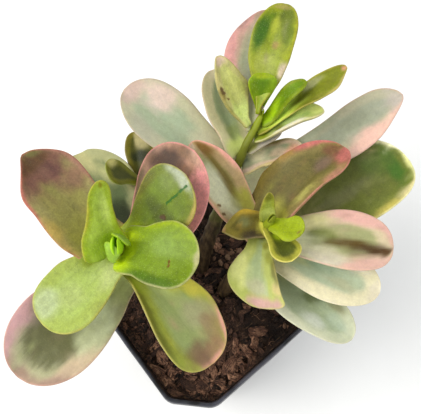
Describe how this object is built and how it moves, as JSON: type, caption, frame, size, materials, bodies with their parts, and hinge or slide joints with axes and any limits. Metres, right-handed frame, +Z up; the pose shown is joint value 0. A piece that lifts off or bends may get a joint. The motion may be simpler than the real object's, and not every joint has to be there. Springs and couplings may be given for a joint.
{
  "type": "potted crassula",
  "caption": "Young variegated jade plant with fleshy paddle-shaped leaves on stout stems, rooted in soil in a small square nursery pot.",
  "frame": {"origin": "centre of the pot's bottom face", "axes": "+Z up; X and Y along the pot's sides; the leaning left rosette lies towards -X and the tall back shoot towards +X +Y"},
  "size_m": [0.1336, 0.1025, 0.1436],
  "materials": {
    "black_plastic": "satin black moulded plastic",
    "potting_soil": "moist crumbly peat",
    "bark": "rough bark",
    "stem_skin": "smooth green skin",
    "fresh_leaf": "waxy fresh green skin",
    "pale_leaf": "waxy pale green and cream skin",
    "blushed_leaf": "waxy skin with a pink blush",
    "dark_leaf": "waxy dark green skin"
  },
  "bodies": {
    "root": {"pot": "black_plastic", "soil": "potting_soil", "left_stem": "stem_skin", "right_stem": "stem_skin", "back_stem": "stem_skin", "low_stem": "stem_skin", "bark_chip_1": "bark", "bark_chip_2": "bark", "bark_chip_3": "bark", "bark_chip_4": "bark", "bark_chip_5": "bark", "bark_chip_6": "bark", "bark_chip_7": "bark", "bark_chip_8": "bark", "left_back_leaf_low": "pale_leaf", "left_side_leaf_large": "pale_leaf", "left_inner_leaf_blushed": "blushed_leaf", "left_back_leaf_blushed": "blushed_leaf", "left_front_leaf": "pale_leaf", "left_side_leaf_fresh": "fresh_leaf", "left_inner_leaf_fresh": "fresh_leaf", "left_top_leaf_slim": "fresh_leaf", "left_top_leaf_round": "fresh_leaf", "left_bud_leaf_front": "fresh_leaf", "left_bud_leaf_back": "fresh_leaf", "back_left_leaf_pale": "pale_leaf", "back_left_leaf_upright": "pale_leaf", "back_right_leaf_long": "pale_leaf", "back_right_leaf_small": "dark_leaf", "back_right_leaf_pale": "pale_leaf", "back_top_leaf_blushed": "blushed_leaf", "back_top_leaf_spoon": "fresh_leaf", "back_top_leaf_left": "fresh_leaf", "back_top_leaf_pointed": "dark_leaf", "back_top_leaf_right": "pale_leaf", "back_bud_leaf_round": "fresh_leaf", "back_bud_leaf_slim": "fresh_leaf", "right_back_leaf_folded": "blushed_leaf", "right_upper_leaf_blushed": "blushed_leaf", "right_upper_leaf_dark": "dark_leaf", "right_side_leaf_upper": "blushed_leaf", "right_side_leaf_middle": "pale_leaf", "right_side_leaf_lower": "pale_leaf", "right_front_leaf_spoon": "pale_leaf", "right_bud_leaf_left": "dark_leaf", "right_bud_leaf_cupped": "dark_leaf", "right_bud_leaf_round": "fresh_leaf", "right_bud_leaf_slim": "fresh_leaf", "low_leaf_back": "dark_leaf", "low_leaf_left": "dark_leaf"}
  },
  "joints": []
}
